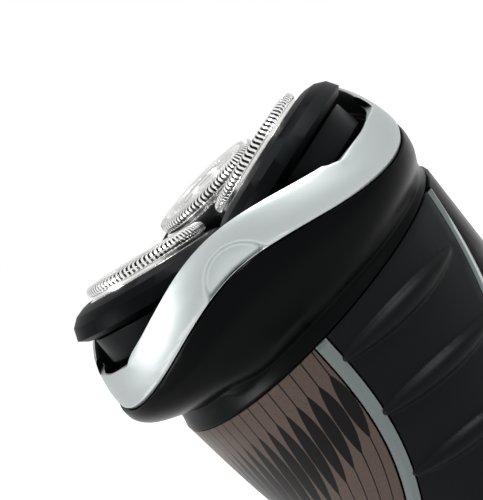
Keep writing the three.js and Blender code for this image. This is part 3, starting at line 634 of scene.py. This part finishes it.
def finish(name, colour, roughness, metallic=0.0, shine=0.5, **detail):
    """A whole finish with a plain colour."""
    material, tree, shader, place = start_finish(name)
    shader.inputs["Metallic"].default_value = metallic
    shader.inputs["Specular IOR Level"].default_value = shine
    surface(tree, shader, place, (*colour, 1), roughness, **detail)
    return material


FINISHES = {
    "satin_black": finish("soft black plastic", (0.0032, 0.0042, 0.0046), 0.42, shine=0.07, grain=5200,
                          bump=0.5, worn=(0.03, 0.034, 0.036, 1), wear=0.4),
    "gloss_black": finish("gloss black plastic", (0.0008, 0.0011, 0.0013), 0.3, shine=0.05, grain=900,
                          bump=0.03, smears=0.14, worn=(0.03, 0.033, 0.035, 1)),
    "charcoal": finish("charcoal plastic", (0.0022, 0.0030, 0.0033), 0.42, shine=0.03, grain=4000, bump=0.3,
                       worn=(0.03, 0.034, 0.035, 1), wear=0.4),
    "silver": finish("satin silver paint", (0.40, 0.435, 0.43), 0.44, metallic=0.8, grain=5200, bump=0.35,
                     tone=0.12, smears=0.08, worn=(0.8, 0.83, 0.82, 1)),
    # The trim's light edge colour is partly wear and partly a painted highlight: a bright line along the strip's
    # crest.
    "trim": finish("silver trim", (0.11, 0.132, 0.13), 0.22, metallic=0.5, grain=3800, bump=0.2, tone=0.2,
                   worn=(0.7, 0.74, 0.73, 1), wear=0.5),
    "nylon": finish("natural nylon", (0.55, 0.52, 0.44), 0.5, grain=3000, bump=0.3, tone=0.15),
    "board": finish("circuit board", (0.02, 0.085, 0.045), 0.42, grain=700, bump=0.3, patches=300, tone=0.9),
    "cell": finish("battery wrap", (0.05, 0.13, 0.22), 0.33, grain=1200, bump=0.15),
    "window": finish("smoked window", (0.004, 0.0045, 0.005), 0.08, shine=0.4, grain=400, bump=0.01,
                     smears=0.08),
    "rubber": finish("black rubber", (0.008, 0.008, 0.008), 0.75, shine=0.2, grain=3500, bump=0.5),
}
print(len(FINISHES), "plain finishes")

# %% [markdown]
# Polished steel has two parts: a smooth bright skin, and the hair-fine rings that the grinding wheel
# leaves. The rings are a noise read far more closely along the radius than round it. Each head has
# its own axis, so the steel reads the piece's own map of radius and turn, written on its corners.

# %% Steel, with rings from the grinding
def write_rings(piece, pose):
    """Gives a piece a map whose U is the distance from a head's axis and V the turn about it."""
    back = pose.inverted()
    layer = piece.data.uv_layers.get("rings") or piece.data.uv_layers.new(name="rings")
    for loop in piece.data.loops:
        spot = back @ piece.data.vertices[loop.vertex_index].co
        turn_here = abs(math.atan2(spot.y, spot.x)) / math.pi
        layer.data[loop.index].uv = (math.hypot(spot.x, spot.y) * 100, turn_here)


for lobe, piece in guards.items():
    write_rings(piece, POSES[lobe])

steel, tree, shader, place = start_finish("polished steel")
shader.inputs["Metallic"].default_value = 1
surface(tree, shader, place, (0.76, 0.76, 0.75, 1), 0.17, grain=1600, bump=0.04, patches=120,
        tone=0.25, smears=0.12, worn=(0.95, 0.95, 0.94, 1), wear=0.5)
FINISHES["steel"] = steel
# Near-black steel for the cutters and the guards' insides: painted shade, so the slots look dark like the inside
# of a head.
slot_shade_steel = finish("steel painted dark as slot shade", (0.035, 0.035, 0.036), 0.35, metallic=1.0, grain=1500, bump=0.1)

ground_steel, tree, shader, place = start_finish("ground steel")
shader.inputs["Metallic"].default_value = 1
surface(tree, shader, place, (0.74, 0.74, 0.73, 1), 0.2, patches=200, tone=0.5, smears=0.12,
        worn=(0.95, 0.95, 0.94, 1), wear=0.4)
rings = add(tree, "ShaderNodeUVMap", uv_map="rings")
stretch = add(tree, "ShaderNodeMapping")
stretch.inputs["Scale"].default_value = (34, 2.5, 1)
tree.links.new(rings.outputs[0], stretch.inputs["Vector"])
lines = add(tree, "ShaderNodeTexNoise")
lines.inputs["Scale"].default_value = 6
lines.inputs["Detail"].default_value = 3
tree.links.new(stretch.outputs[0], lines.inputs["Vector"])
relief = next(node for node in tree.nodes if node.type == "BUMP")
relief.inputs["Strength"].default_value = 0.35
relief.inputs["Distance"].default_value = 0.00003
tree.links.new(lines.outputs["Fac"], relief.inputs["Height"])
print("steel finishes:", steel.name, "and", ground_steel.name)

# %% [markdown]
# The front panel is bronze with fine black lines that run down from the rim. Each line swells once into
# a long leaf, and the leaves form a slanting band. The pattern is worked out from the place itself:
# how far round the panel it lies, and how far below the rim. The nearest line's distance is then
# compared with a half width that grows to a leaf and falls again.

# %% Bronze panel with leaf lines
RIM_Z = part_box("front_panel")[1].z / MM + 0.3
AROUND = 31.0           # mm of arc per radian
PITCH = 2.65            # mm between two lines
SWEEP = (0.13, 0.00021)   # how far a line drifts sideways with its depth, and with its depth cubed
LEAF_AT = (-0.74, 20.5)   # depth of a leaf's middle: change from line to line, and at line 0, in mm
LEAF_HALF = (-0.6, 13.5)  # half of its length, in the same way
LEAF_CURVE = 0.95
LEAF_WIDE, LINE_WIDE = 1.14, 0.12   # mm to each side, added in a leaf and everywhere
leaf_lines, l_in, l_out = new_group("leaf lines", [("Place", "v")], [("Mask", "f")])
parts = add(leaf_lines, "ShaderNodeSeparateXYZ")
leaf_lines.links.new(l_in.outputs["Place"], parts.inputs[0])
x, y, z = parts.outputs
turned_by = sums(leaf_lines, "ARCTAN2", x, sums(leaf_lines, "MULTIPLY", y, -1))
arc = sums(leaf_lines, "MULTIPLY", turned_by, AROUND)
below = sums(leaf_lines, "SUBTRACT", RIM_Z, sums(leaf_lines, "MULTIPLY", z, 1000))
sweep = sums(leaf_lines, "ADD", sums(leaf_lines, "MULTIPLY", below, SWEEP[0]),
             sums(leaf_lines, "MULTIPLY", sums(leaf_lines, "POWER", below, 3), SWEEP[1]))
rank = sums(leaf_lines, "DIVIDE", sums(leaf_lines, "ADD", arc, sweep), PITCH)
line = sums(leaf_lines, "ROUND", rank)
off_line = sums(leaf_lines, "ABSOLUTE", sums(leaf_lines, "SUBTRACT", rank, line))
apart = sums(leaf_lines, "MULTIPLY", off_line, PITCH)
leaf_at = sums(leaf_lines, "MULTIPLY_ADD", line, *LEAF_AT)
leaf_half = sums(leaf_lines, "MULTIPLY_ADD", line, *LEAF_HALF)
along = sums(leaf_lines, "DIVIDE", sums(leaf_lines, "SUBTRACT", below, leaf_at), leaf_half)
fall = sums(leaf_lines, "SUBTRACT", 1, sums(leaf_lines, "MULTIPLY", along, along))
swell = sums(leaf_lines, "POWER", sums(leaf_lines, "MAXIMUM", fall, 0), LEAF_CURVE)
half_width = sums(leaf_lines, "MULTIPLY_ADD", swell, LEAF_WIDE, LINE_WIDE)
mask = sums(leaf_lines, "GREATER_THAN", half_width, apart)
leaf_lines.links.new(mask, l_out.inputs["Mask"])

bronze, tree, shader, place = start_finish("bronze panel")
shader.inputs["Metallic"].default_value = 0.35
shader.inputs["Specular IOR Level"].default_value = 0.12
mask = use(tree, leaf_lines, place=place)
speck = use(tree, fine_grain, place=place, grain_per_metre=5500)
sparkle = mixed(tree, speck, (0.040, 0.029, 0.023, 1), (0.125, 0.095, 0.077, 1))
colour = mixed(tree, mask, sparkle, (0.0035, 0.0035, 0.004, 1))
surface(tree, shader, place, colour, 0.4, grain=5500, bump=0.3, patches=60, tone=0.3)
FINISHES["bronze"] = bronze
print("bronze panel:", PITCH, "mm between lines")

# %% [markdown]
# Each node of the frame takes the finish of its material slot, and so does the piece that stands for it,
# except that the guards take ground steel. Their inner side and slot walls and the cutters are painted
# near black: painted shade for the dark inside of the heads, seen through the slots.

# %% Put the finishes on
for node, thing in NODES.items():
    thing.data.materials.clear()
    thing.data.materials.append(FINISHES[SLOT_OF[node]])
for node, piece in fine.items():
    piece.data.materials.clear()
    piece.data.materials.append(ground_steel if node.startswith("guard") else FINISHES[SLOT_OF[node]])
    # A guard's second material, on its inner side and slot walls, is painted shade.
    if node.startswith("guard"):
        piece.data.materials.append(slot_shade_steel)
ring.data.materials.append(FINISHES["satin_black"])
for index in INNER_FACES:
    ring.data.polygons[index].material_index = 1
# The cutters are painted near black as well: painted shade under the slots.
for lobe in LOBES:
    NODES[f"cutter_{lobe}"].data.materials[0] = slot_shade_steel
print(len(NODES) + len(fine), "meshes finished")

# %% [markdown]
# ## Studio
# A pale floor, one large soft light from behind and above, and a weaker one from the front. The world is
# a plain white room: what the camera, a shiny surface or clear plastic sees of it is pure white, while
# the light that it sends to matt surfaces is lower, so pale paint keeps its tone. The floor does the
# same with a glow that lights nothing and only shows.

# %% Floor, world and lights
AMBIENT = 0.14      # strength of the world as a light
FLOOR_GLOW = 0.8    # strength of the floor where it is seen


def seen_itself(tree):
    """1 for a ray that shows what it meets, straight or in a shine, and 0 for one that only lights."""
    rays = add(tree, "ShaderNodeLightPath")
    seen = sums(tree, "MAXIMUM", rays.outputs["Is Camera Ray"], rays.outputs["Is Glossy Ray"])
    return sums(tree, "MAXIMUM", seen, rays.outputs["Is Transmission Ray"])


scene.view_settings.view_transform = "Standard"
world = bpy.data.worlds.new("studio")
scene.world = world
world.use_nodes = True
tree = world.node_tree
background = tree.nodes["Background"]
background.inputs["Color"].default_value = (1, 1, 1, 1)
strength = sums(tree, "MULTIPLY_ADD", seen_itself(tree), 1 - AMBIENT, AMBIENT)
tree.links.new(strength, background.inputs["Strength"])


def softbox(name, spot, size, power):
    """A square area light aimed at the shaving heads."""
    lamp = bpy.data.lights.new(name, "AREA")
    lamp.size = size
    lamp.energy = power
    box = bpy.data.objects.new(name, lamp)
    scene.collection.objects.link(box)
    aim = Vector((0, 0, HEAD_Z - 0.03)) - Vector(spot)
    box.matrix_world = Matrix.Translation(spot) @ aim.to_track_quat("-Z", "Y").to_matrix().to_4x4()
    return box


softbox("key softbox", (0.30, 0.25, 0.62), 0.25, 4.0)
softbox("front softbox", (-0.05, -0.62, 0.42), 0.22, 3.0)

bpy.ops.object.select_all(action="DESELECT")
bpy.ops.mesh.primitive_grid_add(x_subdivisions=4, y_subdivisions=4, size=6)
floor = bpy.context.object
floor.name = "floor"
paper, tree, shader, place = start_finish("pale paper")
surface(tree, shader, place, (0.86, 0.86, 0.86, 1), 0.85, grain=400, bump=0.02, patches=3, tone=0.02)
shader.inputs["Emission Color"].default_value = (1, 1, 1, 1)
tree.links.new(sums(tree, "MULTIPLY", seen_itself(tree), FLOOR_GLOW), shader.inputs["Emission Strength"])
floor.data.materials.append(paper)
floor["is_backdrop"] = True
print("two softboxes, ambient", AMBIENT)

# %% [markdown]
# Last, the visual model's box is printed beside the frame's.

# %% Sizes and end
SHOWN_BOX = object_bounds()
sizes = {"cad": [list(corner) for corner in CAD_BOX], "visual": [list(corner) for corner in SHOWN_BOX]}
for name, box in sizes.items():
    print(name, "box, mm:", [[round(v * 1000, 1) for v in corner] for corner in box])
